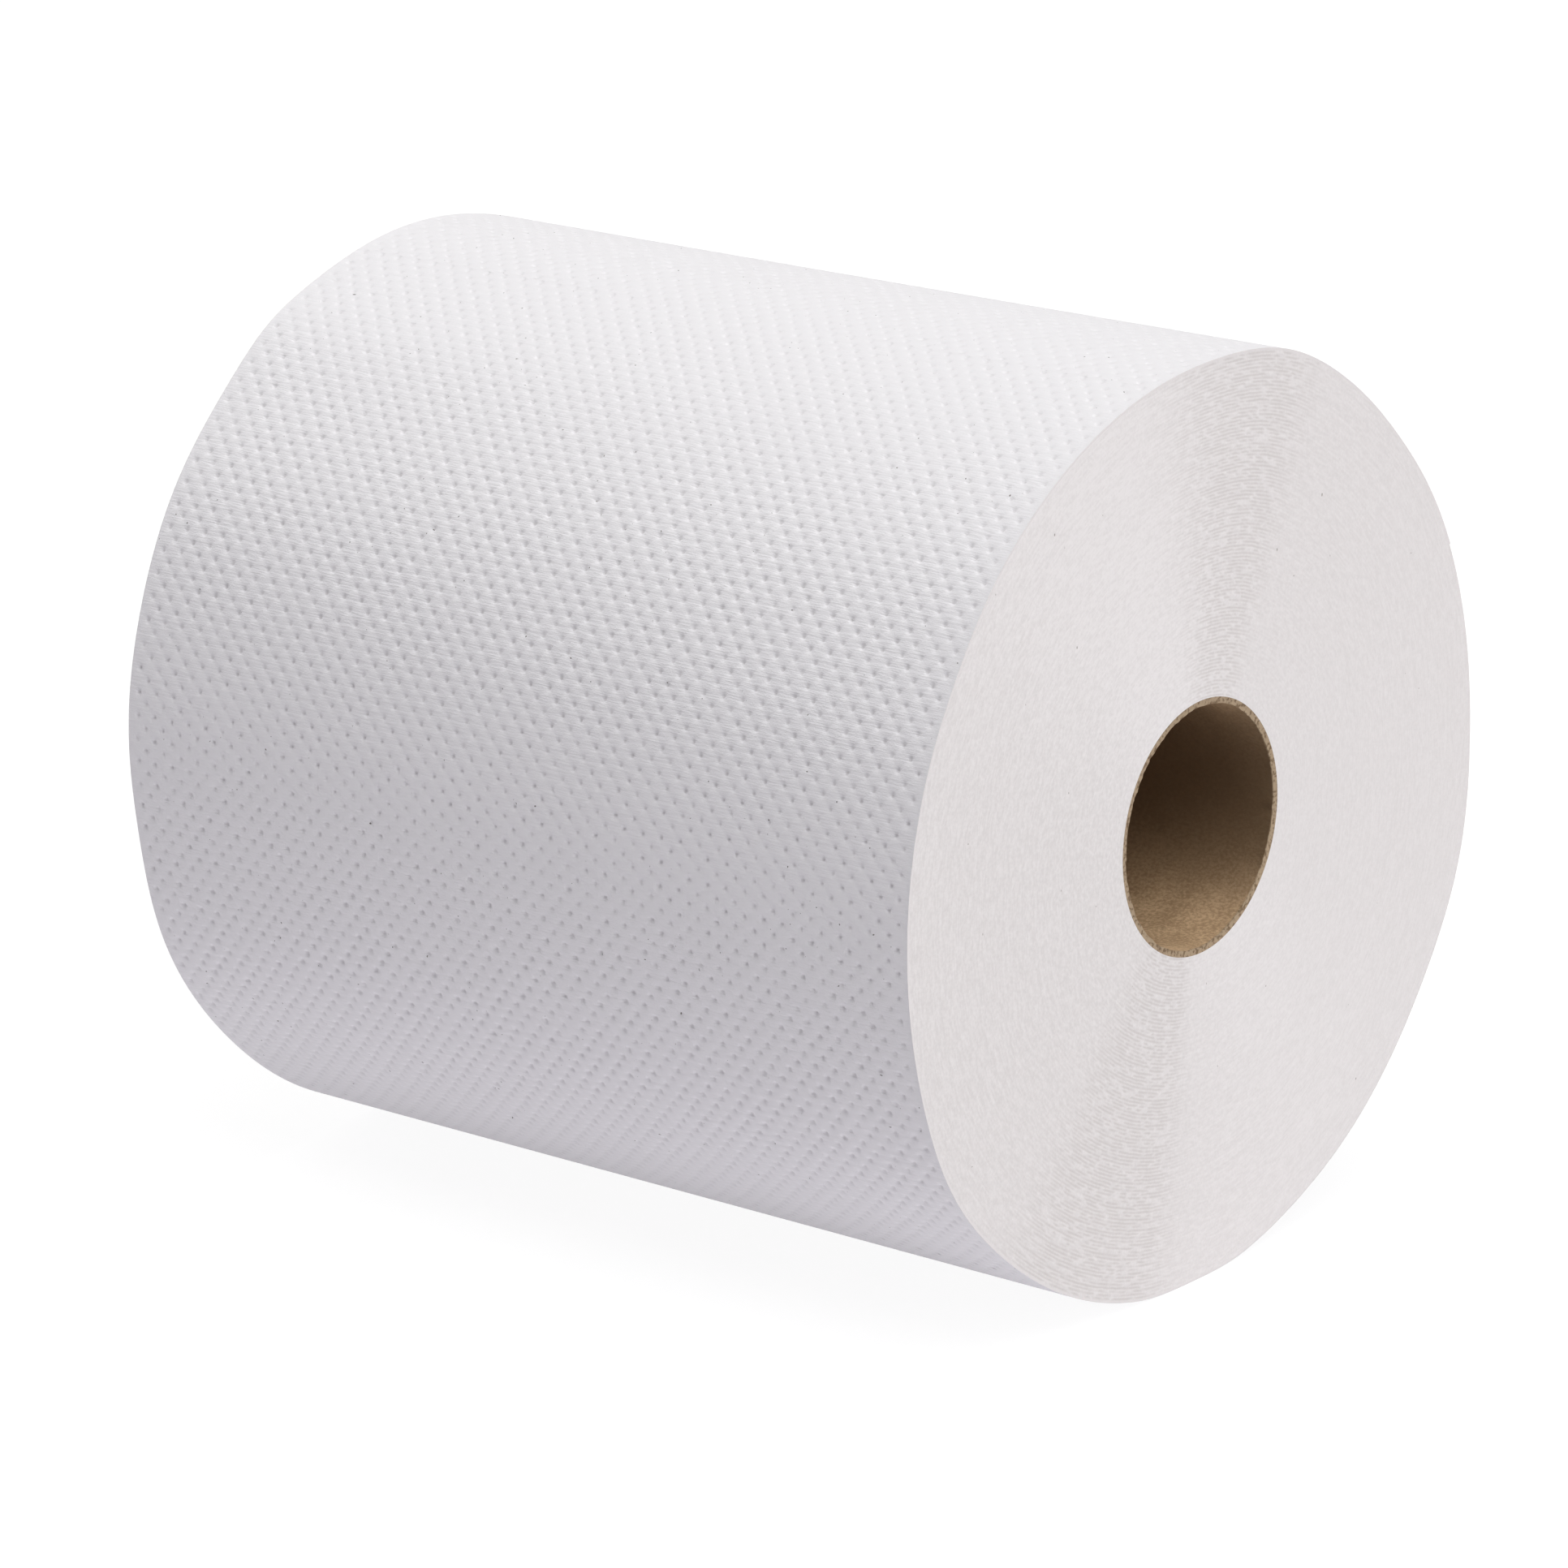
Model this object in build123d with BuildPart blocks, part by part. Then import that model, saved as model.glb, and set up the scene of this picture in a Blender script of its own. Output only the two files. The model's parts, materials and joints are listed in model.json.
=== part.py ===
"""Paper towel roll: a web of embossed paper wound on a cardboard core, lying on its side.

Millimetres. +X runs along the core, +Z is up, and the origin is on the surface that the roll
lies on, under the middle of the roll. The web's loose end is on the +Y side, at the back.
"""
import os

from build123d import *

# Driving dimensions
roll_width = 203.0        # width of the web: core and web are cut to it together
roll_diameter = 194.0     # over the last turn
core_bore = 50.8          # inside of the core
core_wall = 1.3           # board of the core, all its plies together
flat_depth = 0.8          # how far the soft roll has settled on what it lies on
tail_step = 0.3           # thickness of the loose end, lying on the turn below
tail_angle = 25.0         # place of the loose end, in degrees above level at the back
turn_pitch = 9.5          # spacing of the turn edges drawn on the ends
turn_gap = 0.8            # width of the gap between two of those turns
turn_relief = 0.35        # how deep that gap lies in the end
rim_band = 3.6            # plain band of outer turns, at the edge of the end
core_band = 2.4           # plain band of first turns, round the core

# Worked out from them
roll_radius = roll_diameter / 2
core_radius = core_bore / 2 + core_wall
axis_height = roll_radius - flat_depth
half_pitch = turn_pitch / 2
gap_radius = roll_radius - rim_band
gap_half_turns = int((gap_radius - turn_gap - core_radius - core_band) / half_pitch)

# The roll's section at the middle of its width, with its first axis turned to the loose end
section = Plane(origin=(0, 0, axis_height), x_dir=(0, 1, 0), z_dir=(1, 0, 0))
section = section.rotated((tail_angle, 0, 0))


def half_turns(start_radius, pitch, count):
    """A spiral of half circles, each tangent to the last and half a pitch tighter."""
    arcs = []
    for number in range(count):
        side = number % 2
        centre = (-side * pitch / 2, 0)
        arcs.append(CenterArc(centre, start_radius - number * pitch / 2, 180 * side, 180))
    return arcs


# Core: a tube of wound board, cut square
with BuildPart() as cardboard_core:
    with BuildSketch(section):
        Circle(core_radius)
        Circle(core_bore / 2, mode=Mode.SUBTRACT)
    extrude(amount=roll_width / 2, both=True)

# Paper: all the turns as one solid, wound on the core face to face
with BuildPart() as wound_paper:
    # The last turn is the outline. It ends in the step of the loose end.
    with BuildSketch(section):
        with BuildLine():
            last_turn = half_turns(roll_radius, tail_step, 2)
            Line(last_turn[-1] @ 1, last_turn[0] @ 0)
        make_face()
        Circle(core_radius, mode=Mode.SUBTRACT)
    extrude(amount=roll_width / 2, both=True)

    # The flat spot: nothing reaches below the surface that the roll lies on
    split(bisect_by=Plane.XY, keep=Keep.TOP)

    # The edges of the turns, on both ends: one shallow gap that winds in towards the core
    for end in (1, -1):
        with BuildSketch(section.offset(end * roll_width / 2)):
            with BuildLine():
                outer_edge = half_turns(gap_radius, turn_pitch, gap_half_turns)
                inner_edge = half_turns(gap_radius - turn_gap, turn_pitch, gap_half_turns)
                Line(outer_edge[0] @ 0, inner_edge[0] @ 0)
                Line(outer_edge[-1] @ 1, inner_edge[-1] @ 1)
            make_face()
        extrude(amount=-end * turn_relief, mode=Mode.SUBTRACT)

cardboard_core.part.label = "cardboard_core"
wound_paper.part.label = "wound_paper"

os.makedirs("parts", exist_ok=True)
export_step(cardboard_core.part, "parts/cardboard_core.step")
export_step(wound_paper.part, "parts/wound_paper.step")
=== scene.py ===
import json
import math

import bpy
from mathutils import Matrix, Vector


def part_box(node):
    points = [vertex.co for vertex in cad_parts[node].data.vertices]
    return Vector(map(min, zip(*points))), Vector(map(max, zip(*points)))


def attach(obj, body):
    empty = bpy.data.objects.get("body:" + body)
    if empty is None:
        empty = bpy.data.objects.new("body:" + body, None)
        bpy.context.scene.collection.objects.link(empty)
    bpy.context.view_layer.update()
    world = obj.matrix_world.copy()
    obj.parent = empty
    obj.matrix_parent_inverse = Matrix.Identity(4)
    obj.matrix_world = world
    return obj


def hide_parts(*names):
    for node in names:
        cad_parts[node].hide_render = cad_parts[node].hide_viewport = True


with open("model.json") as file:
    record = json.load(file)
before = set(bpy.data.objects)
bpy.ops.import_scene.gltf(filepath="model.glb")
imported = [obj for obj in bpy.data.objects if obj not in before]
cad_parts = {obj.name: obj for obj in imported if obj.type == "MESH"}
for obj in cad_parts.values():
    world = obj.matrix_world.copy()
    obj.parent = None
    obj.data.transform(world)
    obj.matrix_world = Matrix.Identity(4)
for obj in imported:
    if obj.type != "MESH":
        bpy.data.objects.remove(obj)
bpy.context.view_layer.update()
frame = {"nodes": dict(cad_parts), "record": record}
print("frame loaded:", ", ".join(sorted(frame["nodes"])))

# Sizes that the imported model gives, in metres
mounts = {mount["name"]: mount for mount in frame["record"]["mounts"]}
axisHeight = mounts["core_bore"]["pos_m"][2]
boreRadius = mounts["core_bore"]["dims"]["r_mm"] / 1000
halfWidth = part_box("wound_paper")[1].x
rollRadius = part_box("wound_paper")[1].z - axisHeight
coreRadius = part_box("cardboard_core")[1].z - axisHeight
millimetre = 0.001
fullTurn = 2 * math.pi


# Node trees: a field is one value in a tree, so that formulas read as formulas

class Field:
    def __init__(self, tree, socket):
        self.tree = tree
        self.socket = socket

    def __add__(self, other):
        return calc("ADD", self, other)

    def __radd__(self, other):
        return calc("ADD", other, self)

    def __sub__(self, other):
        return calc("SUBTRACT", self, other)

    def __rsub__(self, other):
        return calc("SUBTRACT", other, self)

    def __mul__(self, other):
        return calc("MULTIPLY", self, other)

    def __truediv__(self, other):
        return calc("DIVIDE", self, other)

    def __rtruediv__(self, other):
        return calc("DIVIDE", other, self)

    def __pow__(self, other):
        return calc("POWER", self, other)

    def __lt__(self, other):
        return calc("LESS_THAN", self, other)

    def __gt__(self, other):
        return calc("GREATER_THAN", self, other)


def feed(socket, value):
    if isinstance(value, Field):
        value.tree.links.new(value.socket, socket)
    else:
        socket.default_value = value


def addNode(tree, kind, inputs=(), **settings):
    node = tree.nodes.new(kind)
    for name, value in settings.items():
        setattr(node, name, value)
    for name, value in dict(inputs).items():
        feed(node.inputs[name], value)
    return node


def output(node, name=0):
    return Field(node.id_data, node.outputs[name])


def calc(operation, *values):
    tree = next(value.tree for value in values if isinstance(value, Field))
    node = addNode(tree, "ShaderNodeMath", enumerate(values), operation=operation)
    return output(node)


def smaller(first, second):
    return calc("MINIMUM", first, second)


def larger(first, second):
    return calc("MAXIMUM", first, second)


def vector(x, y, z):
    tree = next(value.tree for value in (x, y, z) if isinstance(value, Field))
    return output(addNode(tree, "ShaderNodeCombineXYZ", {"X": x, "Y": y, "Z": z}))


# 0 before start, 1 after end, smooth between
def ramp(value, start, end):
    inputs = {"Value": value, "From Min": start, "From Max": end}
    node = addNode(value.tree, "ShaderNodeMapRange", inputs, interpolation_type="SMOOTHSTEP")
    return output(node)


def noise(place, detail=2.0, roughness=0.5):
    inputs = {"Vector": place, "Scale": 1.0, "Detail": detail, "Roughness": roughness}
    return output(addNode(place.tree, "ShaderNodeTexNoise", inputs))


# Geometry trees

mergeDistance = 0.01 * millimetre     # closes the seams of a mesh
sharpAngle = math.radians(55)         # edges that bend more stay sharp


def startTree(name, sizes):
    tree = bpy.data.node_groups.new(name, "GeometryNodeTree")
    tree.interface.new_socket("Mesh", in_out="OUTPUT", socket_type="NodeSocketGeometry")
    tree.interface.new_socket("Material", in_out="INPUT", socket_type="NodeSocketMaterial")
    for label, value in sizes.items():
        kind = "NodeSocketInt" if isinstance(value, int) else "NodeSocketFloat"
        tree.interface.new_socket(label, in_out="INPUT", socket_type=kind)
    entry = tree.nodes.new("NodeGroupInput")
    return tree, {socket.name: Field(tree, socket) for socket in entry.outputs if socket.name}


# A grid whose vertices are numbered along columns and rows
def startGrid(tree, columns, rows):
    grid = addNode(tree, "GeometryNodeMeshGrid", {"Vertices X": columns, "Vertices Y": rows})
    index = output(addNode(tree, "GeometryNodeInputIndex"))
    column = calc("FLOOR", index / rows)
    return output(grid), column, index - column * rows


def store(mesh, name, value, kind="FLOAT"):
    inputs = {"Geometry": mesh, "Name": name, "Value": value}
    node = addNode(mesh.tree, "GeometryNodeStoreNamedAttribute", inputs, data_type=kind)
    return output(node)


def randomBetween(low, high, ident, seed):
    node = addNode(ident.tree, "FunctionNodeRandomValue", data_type="FLOAT")
    for place, value in ((2, low), (3, high), (7, ident), (8, seed)):
        feed(node.inputs[place], value)
    return output(node, 1)


# Places the grid's vertices, closes its seams and ends the tree
def endTree(mesh, position, material):
    tree = mesh.tree
    placed = addNode(tree, "GeometryNodeSetPosition", {"Geometry": mesh, "Position": position})
    inputs = {"Geometry": output(placed), "Distance": mergeDistance}
    closed = addNode(tree, "GeometryNodeMergeByDistance", inputs)
    inputs = {"Mesh": output(closed)}
    split = addNode(tree, "GeometryNodeTriangulate", inputs, quad_method="SHORTEST_DIAGONAL")
    whole = addNode(tree, "GeometryNodeRealizeInstances", {"Geometry": output(split)})
    inputs = {"Geometry": output(whole), "Material": material}
    painted = addNode(tree, "GeometryNodeSetMaterial", inputs)
    addNode(tree, "NodeGroupOutput", {"Mesh": output(painted)})


# Runs a tree once and leaves a plain mesh on the body
def makePiece(name, tree, sizes, material, node):
    piece = bpy.data.objects.new(name, bpy.data.meshes.new(name))
    bpy.context.scene.collection.objects.link(piece)
    modifier = piece.modifiers.new("build", "NODES")
    modifier.node_group = tree
    for item in tree.interface.items_tree:
        if item.in_out == "INPUT":
            modifier[item.identifier] = material if item.name == "Material" else sizes[item.name]
    graph = bpy.context.evaluated_depsgraph_get()
    built = piece.evaluated_get(graph)
    mesh = bpy.data.meshes.new_from_object(built, preserve_all_data_layers=True, depsgraph=graph)
    piece.modifiers.clear()
    piece.data = mesh
    mesh.name = name
    mesh.shade_smooth()
    mesh.set_sharp_from_angle(angle=sharpAngle)
    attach(piece, "root")
    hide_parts(node)
    print(name, "made:", len(mesh.polygons), "faces")


# The roll's outline: how far it stands from the axis, by angle and place along the core
outline = {
    "dentFade": 2.0,                  # how fast a dent dies out towards the other end
    "flatBlend": 2.0 * millimetre,    # the flat spot runs softly into the round
    "flatSink": 0.13 * millimetre,    # and still reaches the floor
    "underside": 0.5,                 # the floor counts where the roll faces down by more than this
    "tailAngle": math.radians(25),    # place of the loose end
}
# the soft roll isn't quite round, at the +X end (1) and at the -X end (-1):
# angle and spread in degrees, rise in millimetres
dents = {
    1: (
        (45, 11, -0.7),
        (74, 12, 1.4),
        (148, 9, -0.6),
        (214, 13, 1.3),
        (291, 13, -0.6),
        (343, 13, 1.7),
    ),
    -1: (
        (75, 14, -0.8),
        (121, 8, 1.1),
        (147, 11, 0.6),
        (190, 12, -1.4),
        (226, 14, -0.6),
    ),
}


def outlineRadius(angle, x, size, windIn=0.0):
    radius = rollRadius - windIn
    for end, places in dents.items():
        nearness = (x * (end / halfWidth) + 1) * 0.5
        rises = 0
        for middle, spread, rise in places:
            fromMiddle = angle - math.radians(middle)
            away = calc("FLOORED_MODULO", fromMiddle + math.pi, fullTurn) - math.pi
            share = away / math.radians(spread)
            rises = calc("EXPONENT", share * share * -1) * (rise * millimetre) + rises
        radius = rises * nearness ** size["dentFade"] + radius
    down = larger(calc("SINE", angle) * -1, size["underside"])
    toFloor = (size["flatSink"] + axisHeight) / down
    return calc("SMOOTH_MIN", radius, toFloor, size["flatBlend"])


def placeRound(x, radius, angle, rise=0.0):
    height = calc("SINE", angle) * radius + axisHeight + rise
    return vector(x, calc("COSINE", angle) * radius, larger(height, 0.0))


# Embossed outer turns of the web, with the loose end at the back
lastTurn = {
    "cellsAlong": 43,                 # emboss cells across the web
    "cellsRound": 123,                # and round the roll
    "firstCell": 0.0,                 # cells that a piece holds, counted from the loose end
    "lastCell": 123.0,
    "pitDepth": 0.52 * millimetre,
    "shallowPit": 0.75,               # range of the pits' own depths, as shares of it
    "deepPit": 1.2,
    "pitReach": 1.10 * millimetre,    # radius of a pit
    "slopeShare": 0.42,               # how deep a pit is half way out
    "plainEdge": 2.6,                 # the emboss dies out at the cut, in sixths of a cell
    "pitShift": 0.14 * millimetre,    # uneven places of the pits
    "rowSkew": -0.022,                # rows of pits run a little round the roll
    "shellDepth": 1.4 * millimetre,   # the turns that this piece holds
    "lipDepth": 0.5 * millimetre,     # fewer of them at the cut
    "lipWidth": 2.0 * millimetre,
    "tailStep": 0.3 * millimetre,
    "tailFade": 12.0,                 # how late the skew of the rows dies out at the loose end
    "seed": 7,
    **outline,
}
stepsAlong = 6                        # vertices of an emboss cell, along and round
stepsRound = 8
# the turn is made in four pieces, whose seams lie between two rows of pits
turnCells = {
    "backTopTurn": (0.0, 26.25),
    "frontTurn": (26.25, 72.25),
    "underTurn": (72.25, 97.25),
    "backTurn": (97.25, 123.0),
}


def buildLastTurnTree():
    tree, size = startTree("lastTurn", lastTurn)
    alongCount = size["cellsAlong"] * stepsAlong
    roundCount = size["cellsRound"] * stepsRound
    rows = (size["lastCell"] - size["firstCell"]) * stepsRound
    mesh, column, row = startGrid(tree, alongCount + 7, rows + 3)

    # columns: inner wall, its lip at -X, outer face to +X, lip, inner wall in two strips
    isOuter = (column > 1.5) * (column < alongCount + 2.5)
    isLip = (column > 0.5) * (column < alongCount + 3.5) - isOuter
    isMiddle = calc("COMPARE", column, alongCount + 5, 0.1)
    along = smaller(larger(column - 2, 0), alongCount) * (column < alongCount + 5.5)
    turn = smaller(larger(row - 1, 0), rows) + size["firstCell"] * stepsRound

    # first and last row close on the middle of the inner wall
    isCap = larger(row < 0.5, row > rows + 1.5)
    isMiddle = larger(isMiddle, isCap)
    isOuter = isOuter * (1 - isCap)
    isLip = isLip * (1 - isCap)

    # nearest pit: at a cell's corner or in its middle
    stepX = 2 * halfWidth / alongCount
    stepArc = fullTurn * rollRadius / roundCount
    cornerAlong = calc("ROUND", along / stepsAlong) * stepsAlong
    cornerRound = calc("ROUND", turn / stepsRound) * stepsRound
    middleAlong = (calc("FLOOR", along / stepsAlong) + 0.5) * stepsAlong
    middleRound = (calc("FLOOR", turn / stepsRound) + 0.5) * stepsRound
    toCorner = ((along - cornerAlong) * stepX) ** 2 + ((turn - cornerRound) * stepArc) ** 2
    toMiddle = ((along - middleAlong) * stepX) ** 2 + ((turn - middleRound) * stepArc) ** 2
    atMiddle = toMiddle < toCorner
    pitAlong = cornerAlong + atMiddle * (middleAlong - cornerAlong)
    pitRound = cornerRound + atMiddle * (middleRound - cornerRound)
    offAlong = along - pitAlong
    offRound = turn - pitRound
    steps = larger(calc("ABSOLUTE", offAlong), calc("ABSOLUTE", offRound))
    isPit = steps < 0.5
    isSlope = (steps < 1.5) - isPit
    isRim = (steps < 2.5) * (steps > 1.5)

    # every pit has its own number, place and depth, with vertices on its slope and round its rim
    ident = pitAlong * 1000 + pitRound
    offEdge = smaller(smaller(along, alongCount - along), 1)
    moved = (steps < 2.5) * offEdge * size["pitShift"]
    shiftAlong = randomBetween(-1.0, 1.0, ident, size["seed"]) * moved
    shiftArc = randomBetween(-1.0, 1.0, ident, size["seed"] + 1) * moved
    depth = randomBetween(size["shallowPit"], size["deepPit"], ident, size["seed"] + 2)
    depth = depth * size["pitDepth"]
    away = calc("SQRT", smaller(toCorner, toMiddle))
    reach = size["pitReach"] / larger(away, 0.1 * millimetre)    # away is 0 in a pit's middle
    drawn = (isRim + isSlope * 0.5) * reach + (1 - isRim) * (1 - isSlope)

    x = (pitAlong + offAlong * drawn) * stepX - halfWidth + shiftAlong
    x = x - (1 - isOuter) * (1 - isLip) * calc("SIGN", x) * size["lipWidth"]
    x = x * (1 - isMiddle)
    share = turn / roundCount
    offTail = 1 - calc("ABSOLUTE", share * 2 - 1) ** size["tailFade"]
    arc = (pitRound + offRound * drawn) * stepArc + shiftArc
    straightArc = turn * stepArc
    offStraight = (arc - straightArc) * isOuter * (offTail > 0.001)
    arc = straightArc + offStraight + x * size["rowSkew"] * offTail
    angle = arc / rollRadius + size["tailAngle"]

    fromCut = smaller(smaller(along, alongCount - along) / size["plainEdge"], 1) * isOuter
    emboss = depth * (isPit + isSlope * size["slopeShare"]) * -1
    lastHalf = share > 0.5
    windIn = lastHalf * size["tailStep"] * 0.5 * (1 + calc("COSINE", share * fullTurn))
    inset = isLip * size["lipDepth"] + (1 - isLip) * (1 - isOuter) * size["shellDepth"]
    radius = outlineRadius(angle, x, size, windIn * isOuter) + emboss * fromCut - inset

    # mask of the pits, which the paper material uses for painted shade
    mesh = store(mesh, "pit", isPit * fromCut)
    mesh = store(mesh, "sheetPlace", vector(x, arc, 0.0), "FLOAT_VECTOR")
    turned = addNode(tree, "GeometryNodeFlipFaces", {"Mesh": mesh})
    endTree(output(turned), placeRound(x, radius, angle), size["Material"])
    return tree


# Inner turns: each half ends in the cut edges of the web
innerTurns = {
    "rings": 190,                     # every second one lies low where the cut is rough
    "segments": 440,
    "ringSpread": 0.02 * millimetre,  # turns stand a little proud or low
    "nickDepth": 0.10 * millimetre,
    "nickGrain": 450.0,               # nicks to the metre, along the turns and across them
    "nickAcross": 2500.0,
    "nickFrom": 0.37,                 # a higher start leaves fewer nicks
    "nickFull": 0.51,
    "ringWave": 0.28 * millimetre,    # turns run in and out between the pits
    "waveGrain": 400.0,
    "coreLift": 0.92 * millimetre,    # the core sits a little above the middle
    "endSide": 1.0,                   # +X or -X half
    "waveSeed": 5.0,
    "nickSeed": 9.0,
    "seed": 21,
    **{name: lastTurn[name] for name in ("shellDepth", "lipDepth", "lipWidth")},
    **outline,
}
# two fans where the knife left the edges rough, each from its sharp side:
# where it starts, is full, begins to fade and is gone, in degrees
roughFans = ((61, 74, 86, 106), (269, 257, 238, 222))
roughRest = 0.12                      # how rough the edges are elsewhere


# How rough the edges are at an angle, 0 to 1
def roughness(angle):
    total = 0
    for sharp, full, fading, gone in roughFans:
        edges = [math.radians(value) for value in (sharp, full, fading, gone)]
        if sharp < gone:
            fan = ramp(angle, edges[0], edges[1]) * (1 - ramp(angle, edges[2], edges[3]))
        else:
            fan = ramp(angle, edges[3], edges[2]) * (1 - ramp(angle, edges[1], edges[0]))
        total = fan + total
    return total * (1 - roughRest) + roughRest


def buildInnerTurnsTree():
    tree, size = startTree("innerTurns", innerTurns)
    rings = size["rings"]
    segments = size["segments"]
    side = size["endSide"]
    mesh, column, row = startGrid(tree, rings + 5, segments + 1)

    # columns: end from the core outwards, behind the lip,
    # outside and core side at mid width, first again
    onEnd = larger(column < rings + 0.5, column > rings + 3.5)
    atMiddle = (column > rings + 1.5) * (column < rings + 3.5)
    ring = smaller(column, rings) * (column < rings + 2.5)
    turn = row * (row < segments - 0.5)
    angle = turn / segments * fullTurn + size["tailAngle"]
    share = ring / rings
    offRim = (share > 0.001) * (share < 0.999) * onEnd
    inset = onEnd * size["lipDepth"] + (1 - onEnd) * size["shellDepth"]
    place = side * (1 - atMiddle) * (halfWidth - (1 - onEnd) * size["lipWidth"])
    outer = outlineRadius(angle, place, size) - inset
    evenRadius = share * (outer - coreRadius) + coreRadius
    y = calc("COSINE", angle) * evenRadius
    height = calc("SINE", angle) * evenRadius
    grain = size["waveGrain"]
    wavePlace = vector(y * grain, height * grain, side * size["waveSeed"])
    wave = noise(wavePlace, detail=0.0) - 0.5
    radius = evenRadius + wave * size["ringWave"] * offRim

    # short runs set back between two turns; the edge material paints them dark as painted shade
    lift = randomBetween(-1.0, 1.0, ring, size["seed"]) * size["ringSpread"]
    rough = roughness(calc("FLOORED_MODULO", angle, fullTurn))
    low = calc("FLOORED_MODULO", ring, 2.0)
    grain = size["nickGrain"]
    across = evenRadius * size["nickAcross"] + side * size["nickSeed"]
    torn = noise(vector(y * grain, height * grain, across), detail=1.0)
    nick = low * ramp(torn, size["nickFrom"], size["nickFull"]) * rough * offRim
    x = place + side * (lift * offRim - nick * size["nickDepth"])
    mesh = store(mesh, "nick", nick)
    turned = addNode(tree, "GeometryNodeFlipFaces", {"Mesh": mesh, "Selection": side < 0.0})
    rise = (1 - share) * size["coreLift"]
    endTree(output(turned), placeRound(x, radius, angle, rise), size["Material"])
    return tree


# Core: a tube of wound board with a slightly ragged cut
coreTube = {
    "lengthSteps": 60,
    "segments": 360,
    "ragged": 0.32 * millimetre,      # how uneven the cut is
    "raggedGrain": 900.0,
    "raggedAcross": 3.0,
    "raggedAside": 0.6,               # share of it that goes in and out
    "raggedLoss": 0.2,                # more board is torn off than stands proud
    "frayDepth": 0.5 * millimetre,    # the bore's edge is torn this far in
    "frayRise": 0.9 * millimetre,
    "frayGrain": 330.0,
    "wallWave": 0.06 * millimetre,    # unevenness of the bore
    "waveRound": 4.0,
    "waveAlong": 6.0,
    "coreLift": innerTurns["coreLift"],
    "raggedSeed": 40.0,
    "fraySeed": 30.0,
}


def buildCoreTree():
    tree, size = startTree("coreTube", coreTube)
    steps = size["lengthSteps"]
    segments = size["segments"]
    mesh, column, row = startGrid(tree, steps + 8, segments + 1)

    # columns: bore from -X to +X, three rings over the cut, outside, three rings back
    overNear = smaller(larger(column - steps, 0), 3)
    overFar = smaller(larger(column - steps - 4, 0), 3)
    onFar = column > steps + 3.5
    across = (overNear - overFar) / 3
    along = smaller(column, steps) / steps * (1 - onFar)
    turn = row * (row < segments - 0.5)
    angle = turn / segments * fullTurn
    side = along * 2 - 1
    atEnd = calc("ABSOLUTE", side) > 0.999

    y = calc("COSINE", angle)
    height = calc("SINE", angle)
    grain = size["raggedGrain"] * boreRadius
    depth = across * size["raggedAcross"] + side * size["raggedSeed"]
    cut = noise(vector(y * grain, height * grain, depth), detail=1.0) - 0.5
    atCut = atEnd * (across < 0.9)
    grain = size["waveRound"]
    wave = noise(vector(y * grain, height * grain, side * size["waveAlong"]), detail=2.0) - 0.5
    grain = size["frayGrain"] * boreRadius
    fray = noise(vector(y * grain, height * grain, side * size["fraySeed"]), detail=3.0) - 0.5
    radius = across * (coreRadius - boreRadius) + boreRadius
    radius = radius + wave * size["wallWave"] * (1 - across)
    radius = radius + cut * atCut * size["ragged"] * size["raggedAside"]
    radius = radius + fray * atEnd * (1 - across) * size["frayRise"]
    inside = side * (steps / (steps - 2)) * (halfWidth - size["frayDepth"])
    atFace = side * (halfWidth + (cut - size["raggedLoss"]) * size["ragged"] * atCut * 2)
    x = inside + (atFace - inside) * atEnd
    endTree(mesh, placeRound(x, radius, angle, size["coreLift"]), size["Material"])
    return tree


# Materials

def startMaterial(name):
    material = bpy.data.materials.new(name)
    material.use_nodes = True
    tree = material.node_tree
    tree.nodes.clear()
    shader = addNode(tree, "ShaderNodeBsdfPrincipled")
    surface = addNode(tree, "ShaderNodeOutputMaterial")
    tree.links.new(shader.outputs["BSDF"], surface.inputs["Surface"])
    return material, tree, shader


def objectPlace(tree):
    place = addNode(tree, "ShaderNodeTexCoord")
    parts = addNode(tree, "ShaderNodeSeparateXYZ", {"Vector": output(place, "Object")})
    return [output(parts, axis) for axis in ("X", "Y", "Z")]


def blend(share, first, second):
    tree = share.tree
    node = addNode(tree, "ShaderNodeMix", data_type="RGBA")
    for place, value in ((0, share), (6, first), (7, second)):
        feed(node.inputs[place], value)
    return output(node, 2)


# noise with so many grains to the metre along X, Y and Z
def grains(place, counts, detail, roughness=0.5):
    x, y, z = [axis * count for axis, count in zip(place, counts)]
    return noise(vector(x, y, z), detail, roughness)


def addSpecks(colour, place, look):
    specks = grains(place, look["speckGrain"], detail=0.0)
    return blend(ramp(specks, look["speckFrom"], look["speckFull"]), colour, look["speck"])


# Colour and relief, and the values that are the same all over
def addFinish(shader, look, colour, relief):
    inputs = {
        "Height": relief,
        "Distance": look["reliefDepth"],
        "Strength": look["reliefStrength"],
    }
    bump = addNode(relief.tree, "ShaderNodeBump", inputs)
    feed(shader.inputs["Base Color"], colour)
    feed(shader.inputs["Normal"], output(bump))
    shader.inputs["Roughness"].default_value = look["roughness"]
    shader.inputs["Specular IOR Level"].default_value = look["specular"]


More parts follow.
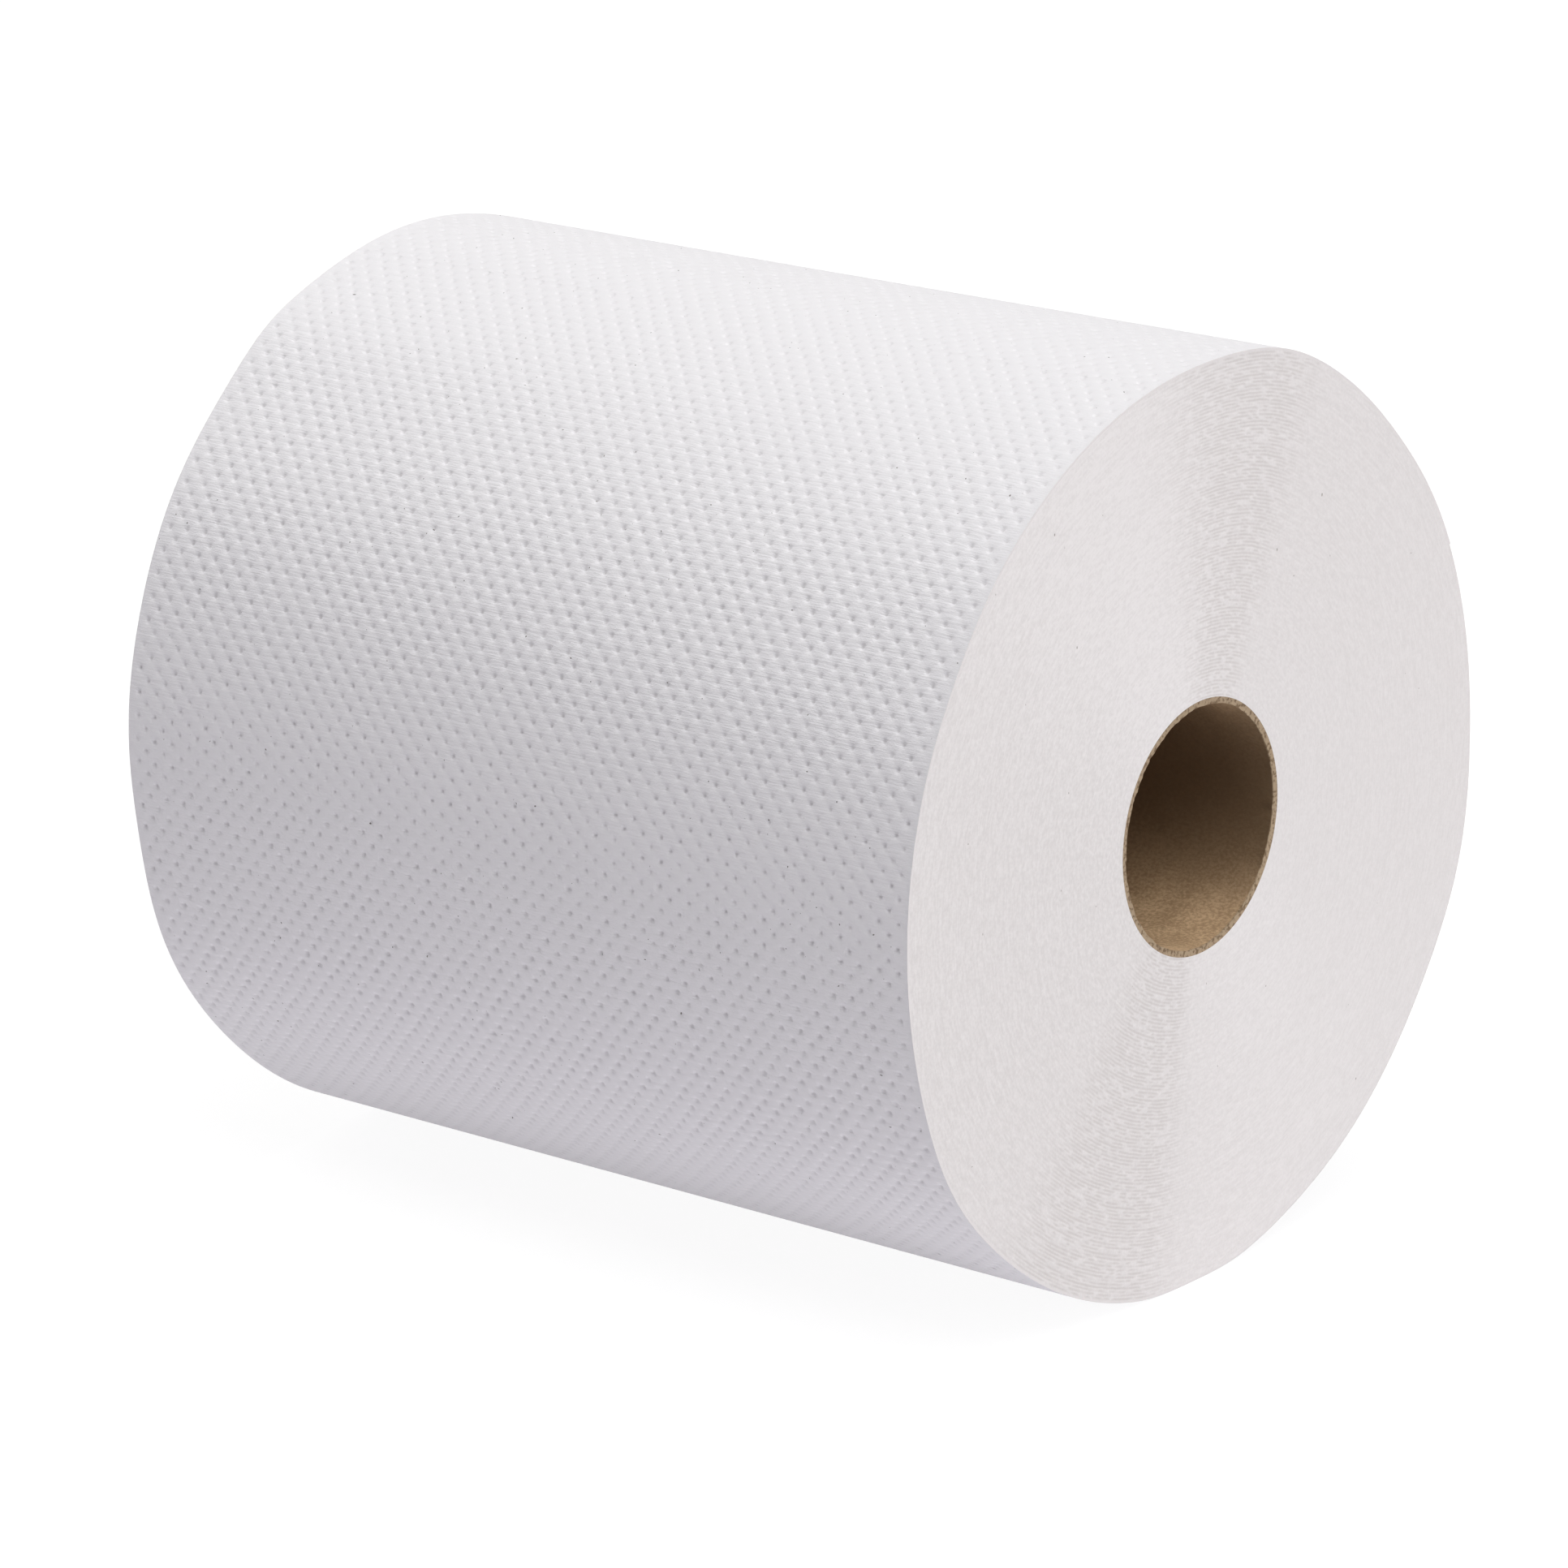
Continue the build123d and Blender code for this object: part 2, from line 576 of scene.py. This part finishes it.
paperLook = {
    "face": (0.868, 0.852, 0.868, 1.0),
    # painted shade in the pits, in place of the shade that falls in them
    "pit": (0.775, 0.755, 0.765, 1.0),
    "pitShare": 0.55,                 # how far a pit takes that painted shade, and how much more in clouds
    "pitCloud": 0.5,
    "cloudGrain": (40.0, 40.0, 40.0),
    "speck": (0.25, 0.23, 0.22, 1.0),
    "speckGrain": (1500.0, 1500.0, 1500.0),
    "speckFrom": 0.86,                # a higher start leaves fewer specks
    "speckFull": 0.90,
    "cutEdge": (0.81, 0.775, 0.765, 1.0),
    "cutWidth": 0.12 * millimetre,
    "creaseLength": 4.0 * millimetre,
    "creasePitch": 0.50 * millimetre,
    "fibreGrain": (2500.0, 2500.0, 2500.0),
    "fibreShare": 0.5,
    "reliefDepth": 0.18 * millimetre,
    "reliefStrength": 0.6,
    "roughness": 0.92,
    "specular": 0.2,
}


def makePaperMaterial():
    look = paperLook
    material, tree, shader = startMaterial("embossedPaper")
    pit = output(addNode(tree, "ShaderNodeAttribute", attribute_name="pit"), "Fac")
    sheet = addNode(tree, "ShaderNodeAttribute", attribute_name="sheetPlace")
    parts = addNode(tree, "ShaderNodeSeparateXYZ", {"Vector": output(sheet, "Vector")})
    along, arc = output(parts, "X"), output(parts, "Y")
    place = objectPlace(tree)

    # creases of the crepe run across the web
    creasePlace = vector(along / look["creaseLength"], arc / look["creasePitch"], 0.0)
    crease = noise(creasePlace, detail=2.0)
    fibre = grains(place, look["fibreGrain"], detail=3.0)
    cloud = grains(place, look["cloudGrain"], detail=2.0)

    # painted shade in the pits, stronger in clouds
    paintedPitShade = pit * (look["pitShare"] + cloud * look["pitCloud"])
    colour = blend(paintedPitShade, look["face"], look["pit"])
    colour = addSpecks(colour, place, look)
    atCut = ramp(calc("ABSOLUTE", place[0]), halfWidth - look["cutWidth"], halfWidth)
    colour = blend(atCut, colour, look["cutEdge"])
    addFinish(shader, look, colour, crease + fibre * look["fibreShare"])
    return material


edgeLook = {
    "edge": (0.876, 0.845, 0.833, 1.0),
    "shade": (0.766, 0.734, 0.720, 1.0),
    "shadeRest": 0.09,                # shade all over, by turns and by grain
    "shadeTurns": 0.3,
    "shadeGrain": 0.7,
    # painted shade in the nicks, which lie set back between the turns
    "nick": (0.575, 0.530, 0.505, 1.0),
    "nickShare": 0.48,
    "speck": (0.42, 0.38, 0.35, 1.0),
    "speckGrain": (900.0, 900.0, 900.0),
    "speckFrom": 0.89,
    "speckFull": 0.93,
    "fineGrain": (1500.0, 1500.0, 1500.0),
    "streakCount": 27.0,              # grain of the cut runs along the turns
    "streakPitch": 0.7 * millimetre,
    "grainFrom": 0.3,
    "grainFull": 0.7,
    "grainAngle": math.radians(170),  # the cut is coarser on this side
    "grainSwing": 0.25,
    "turnGrain": 1500.0,              # turns differ in tone, and a turn along its length
    "turnDrift": (60.0, 30.0, 30.0),
    "paleAngle": math.radians(115),   # painted sheen: the edges are painted paler along this line, where the wound edges catch the light
    "paleShare": 0.42,
    "paleNarrow": 3.0,
    "paleSwing": 0.2,                 # and the painted sheen is stronger on this side of the core
    "reliefGrain": 0.6,
    "reliefTurns": 0.3,
    "reliefDepth": 0.11 * millimetre,
    "reliefStrength": 0.7,
    "roughness": 0.95,
    "specular": 0.15,
}


def makeEdgeMaterial():
    look = edgeLook
    material, tree, shader = startMaterial("turnEdges")
    place = objectPlace(tree)
    x, y, z = place
    height = z - axisHeight
    radius = calc("SQRT", y * y + height * height)
    angle = calc("ARCTAN2", height, y)
    nick = output(addNode(tree, "ShaderNodeAttribute", attribute_name="nick"), "Fac")

    # fine grain and streaks in equal shares
    count = look["streakCount"]
    streakPlace = vector(y / radius * count, height / radius * count, radius / look["streakPitch"])
    streak = noise(streakPlace, detail=1.0)
    streak = ramp(streak, look["grainFrom"], look["grainFull"])
    fine = grains(place, look["fineGrain"], detail=2.0)
    fine = ramp(fine, look["grainFrom"], look["grainFull"])
    grain = fine * 0.5 + streak * 0.5
    coarse = calc("COSINE", angle - look["grainAngle"]) * look["grainSwing"] + 1

    driftX, driftY, driftZ = look["turnDrift"]
    turnPlace = vector(x * driftX + radius * look["turnGrain"], y * driftY, z * driftZ)
    turns = noise(turnPlace, detail=2.0)
    # painted sheen: paler bands along one line across the core
    fromSheen = angle - look["paleAngle"]
    paintedSheen = (calc("COSINE", fromSheen * 2) * 0.5 + 0.5) ** look["paleNarrow"] * look["paleShare"]
    paintedSheen = paintedSheen * (calc("COSINE", fromSheen) * look["paleSwing"] + 1)

    # darker tone from the turns and the grain, less where the painted sheen lies
    shade = look["shadeRest"] + turns * look["shadeTurns"]
    shade = shade + grain * coarse * look["shadeGrain"] - paintedSheen
    colour = blend(shade, look["edge"], look["shade"])
    colour = addSpecks(colour, place, look)
    # painted shade in the nicks
    colour = blend(nick * look["nickShare"], colour, look["nick"])
    relief = grain * coarse * look["reliefGrain"] + turns * look["reliefTurns"]
    addFinish(shader, look, colour, relief)
    return material


boardLook = {
    "face": (0.66, 0.465, 0.280, 1.0),
    "dark": (0.38, 0.255, 0.145, 1.0),
    "darkBelow": 0.36,                # where fibres and clouds are dark, and where they are pale
    "faceAbove": 0.66,
    "fibreGrain": (1300.0, 1700.0, 1700.0),
    "fibreShare": 0.7,
    "cloudGrain": (120.0, 120.0, 120.0),
    "cloudShare": 0.3,
    # painted shade in the bore, darkest on one side
    "aged": (0.15, 0.097, 0.052, 1.0),
    "agedAngle": math.radians(6),     # painted shade: the board is painted darker on this side, where the bore lies in shade
    "agedShare": 0.95,
    "agedFrom": 0.2,
    "agedFull": 1.1,
    "cut": (0.41, 0.310, 0.205, 1.0),
    "cutDark": (0.20, 0.135, 0.080, 1.0),
    "cutGrain": (600.0, 1100.0, 1100.0),
    "cutDarkBelow": 0.36,
    "cutAbove": 0.54,
    "cutFrom": 0.5 * millimetre,      # depth at which the cut's colour starts, and is full
    "cutFull": 0.2 * millimetre,
    "reliefDepth": 0.06 * millimetre,
    "reliefStrength": 0.6,
    "roughness": 0.85,
    "specular": 0.25,
}


def makeBoardMaterial():
    look = boardLook
    material, tree, shader = startMaterial("kraftBoard")
    place = objectPlace(tree)
    x, y, z = place
    fibre = grains(place, look["fibreGrain"], detail=4.0, roughness=0.65)
    cloud = grains(place, look["cloudGrain"], detail=3.0)
    tone = fibre * look["fibreShare"] + cloud * look["cloudShare"]
    colour = blend(ramp(tone, look["darkBelow"], look["faceAbove"]), look["dark"], look["face"])
    # painted shade: the bore is painted darker towards one side
    angle = calc("ARCTAN2", z - axisHeight, y)
    towards = calc("COSINE", angle - look["agedAngle"])
    aged = ramp(towards, look["agedFrom"], look["agedFull"]) * look["agedShare"]
    colour = blend(aged, colour, look["aged"])
    fray = grains(place, look["cutGrain"], detail=3.0)
    fray = ramp(fray, look["cutDarkBelow"], look["cutAbove"])
    cutColour = blend(fray, look["cutDark"], look["cut"])
    fromMiddle = calc("ABSOLUTE", x)
    atCut = ramp(fromMiddle, halfWidth - look["cutFrom"], halfWidth - look["cutFull"])
    colour = blend(atCut, colour, cutColour)
    addFinish(shader, look, colour, fibre)
    return material


# Pieces
paperMaterial = makePaperMaterial()
turnTree = buildLastTurnTree()
for part, (firstCell, lastCell) in turnCells.items():
    sizes = {**lastTurn, "firstCell": firstCell, "lastCell": lastCell}
    makePiece(part, turnTree, sizes, paperMaterial, "wound_paper")
edgeMaterial = makeEdgeMaterial()
turnsTree = buildInnerTurnsTree()
for half, endSide in (("turnsNear", 1.0), ("turnsFar", -1.0)):
    sizes = {**innerTurns, "endSide": endSide}
    makePiece(half, turnsTree, sizes, edgeMaterial, "wound_paper")
boardMaterial = makeBoardMaterial()
coreTree = buildCoreTree()
makePiece("coreTube", coreTree, coreTube, boardMaterial, "cardboard_core")


# Floor and white surroundings
studio = {
    "floorSize": 12.0,
    "floorBounce": (0.495, 0.48, 0.52, 1.0),
    "floorGlow": 0.88,                # seen by the camera: white, and still darker in the shadow
    "floorShade": (0.19, 0.19, 0.19, 1.0),
    "skyColour": (0.93, 0.96, 1.0, 1.0),
    "skyLevel": 0.0,                  # the lamps alone light the roll
    "lamps": {
        # from, spread in degrees, strength where 1 lights white paper to white
        "key": ((0.40, -0.12, 0.91), 60, 0.72),
        "front": ((0.99, 0.00, 0.14), 40, 0.37),
        "back": ((-0.64, -0.04, 0.77), 50, 0.315),
        "far": ((-0.99, 0.00, 0.14), 40, 0.20),
        "under": ((-0.04, -0.40, -0.92), 50, 0.30),
    },
}


def seenRay(tree):
    path = addNode(tree, "ShaderNodeLightPath")
    seen = larger(output(path, "Is Camera Ray"), output(path, "Is Glossy Ray"))
    return larger(seen, output(path, "Is Transmission Ray"))


# One shader for the light that falls on the roll, another for what is seen
def mixBySeen(tree, lit, seen):
    inputs = {0: seenRay(tree), 1: output(lit), 2: output(seen)}
    return output(addNode(tree, "ShaderNodeMixShader", inputs))


def makeFloor():
    half = studio["floorSize"] / 2
    corners = [(-half, -half, 0), (half, -half, 0), (half, half, 0), (-half, half, 0)]
    mesh = bpy.data.meshes.new("paleFloor")
    mesh.from_pydata(corners, [], [(0, 1, 2, 3)])
    floor = bpy.data.objects.new("paleFloor", mesh)
    bpy.context.scene.collection.objects.link(floor)
    material = bpy.data.materials.new("paleFloor")
    material.use_nodes = True
    tree = material.node_tree
    tree.nodes.clear()
    bounce = addNode(tree, "ShaderNodeBsdfDiffuse", {"Color": studio["floorBounce"]})
    shade = addNode(tree, "ShaderNodeBsdfDiffuse", {"Color": studio["floorShade"]})
    glow = addNode(tree, "ShaderNodeEmission", {"Strength": studio["floorGlow"]})
    shown = addNode(tree, "ShaderNodeAddShader", {0: output(shade), 1: output(glow)})
    addNode(tree, "ShaderNodeOutputMaterial", {"Surface": mixBySeen(tree, bounce, shown)})
    mesh.materials.append(material)
    floor.visible_shadow = False      # the lamp under it shines through, as on a light table


def makeWorld():
    world = bpy.data.worlds.new("studio")
    world.use_nodes = True
    tree = world.node_tree
    tree.nodes.clear()
    inputs = {"Color": studio["skyColour"], "Strength": studio["skyLevel"]}
    sky = addNode(tree, "ShaderNodeBackground", inputs)
    inputs = {"Color": (1.0, 1.0, 1.0, 1.0), "Strength": 1.0}
    white = addNode(tree, "ShaderNodeBackground", inputs)
    addNode(tree, "ShaderNodeOutputWorld", {"Surface": mixBySeen(tree, sky, white)})
    bpy.context.scene.world = world


def makeLamps():
    for name, (direction, spread, strength) in studio["lamps"].items():
        light = bpy.data.lights.new(name, "SUN")
        light.energy = strength * math.pi
        light.angle = math.radians(spread)
        # otherwise the floor stops a part of the light from below
        light.cycles.use_multiple_importance_sampling = False
        lamp = bpy.data.objects.new(name, light)
        lamp.rotation_mode = "QUATERNION"
        lamp.rotation_quaternion = Vector(direction).to_track_quat("Z", "Y")
        bpy.context.scene.collection.objects.link(lamp)


# Camera at the photograph's angle, in metres and degrees
cameraPlace = {
    "azimuth": 38.15,
    "elevation": 16.78,
    "distance": 1.724,
    "lens": 190.15,
    "aimRight": -4.09 * millimetre,   # the roll isn't quite in the middle of the frame
    "aimUp": -8.90 * millimetre,
}


def makeCamera():
    azimuth = math.radians(cameraPlace["azimuth"])
    elevation = math.radians(cameraPlace["elevation"])
    back = Vector((math.sin(azimuth), -math.cos(azimuth), 0)) * math.cos(elevation)
    back.z = math.sin(elevation)
    right = Vector((math.cos(azimuth), math.sin(azimuth), 0))
    up = back.cross(right)
    centre = Vector((0, 0, axisHeight))
    data = bpy.data.cameras.new("view")
    data.lens = cameraPlace["lens"]
    camera = bpy.data.objects.new("view", data)
    camera.location = centre + back * cameraPlace["distance"]
    aim = centre + right * cameraPlace["aimRight"] + up * cameraPlace["aimUp"]
    camera.rotation_euler = (aim - camera.location).to_track_quat("-Z", "Y").to_euler()
    bpy.context.scene.collection.objects.link(camera)
    bpy.context.scene.camera = camera


makeFloor()
makeWorld()
makeLamps()
makeCamera()
bpy.context.scene.view_settings.view_transform = "Standard"
print("floor, light and camera set")
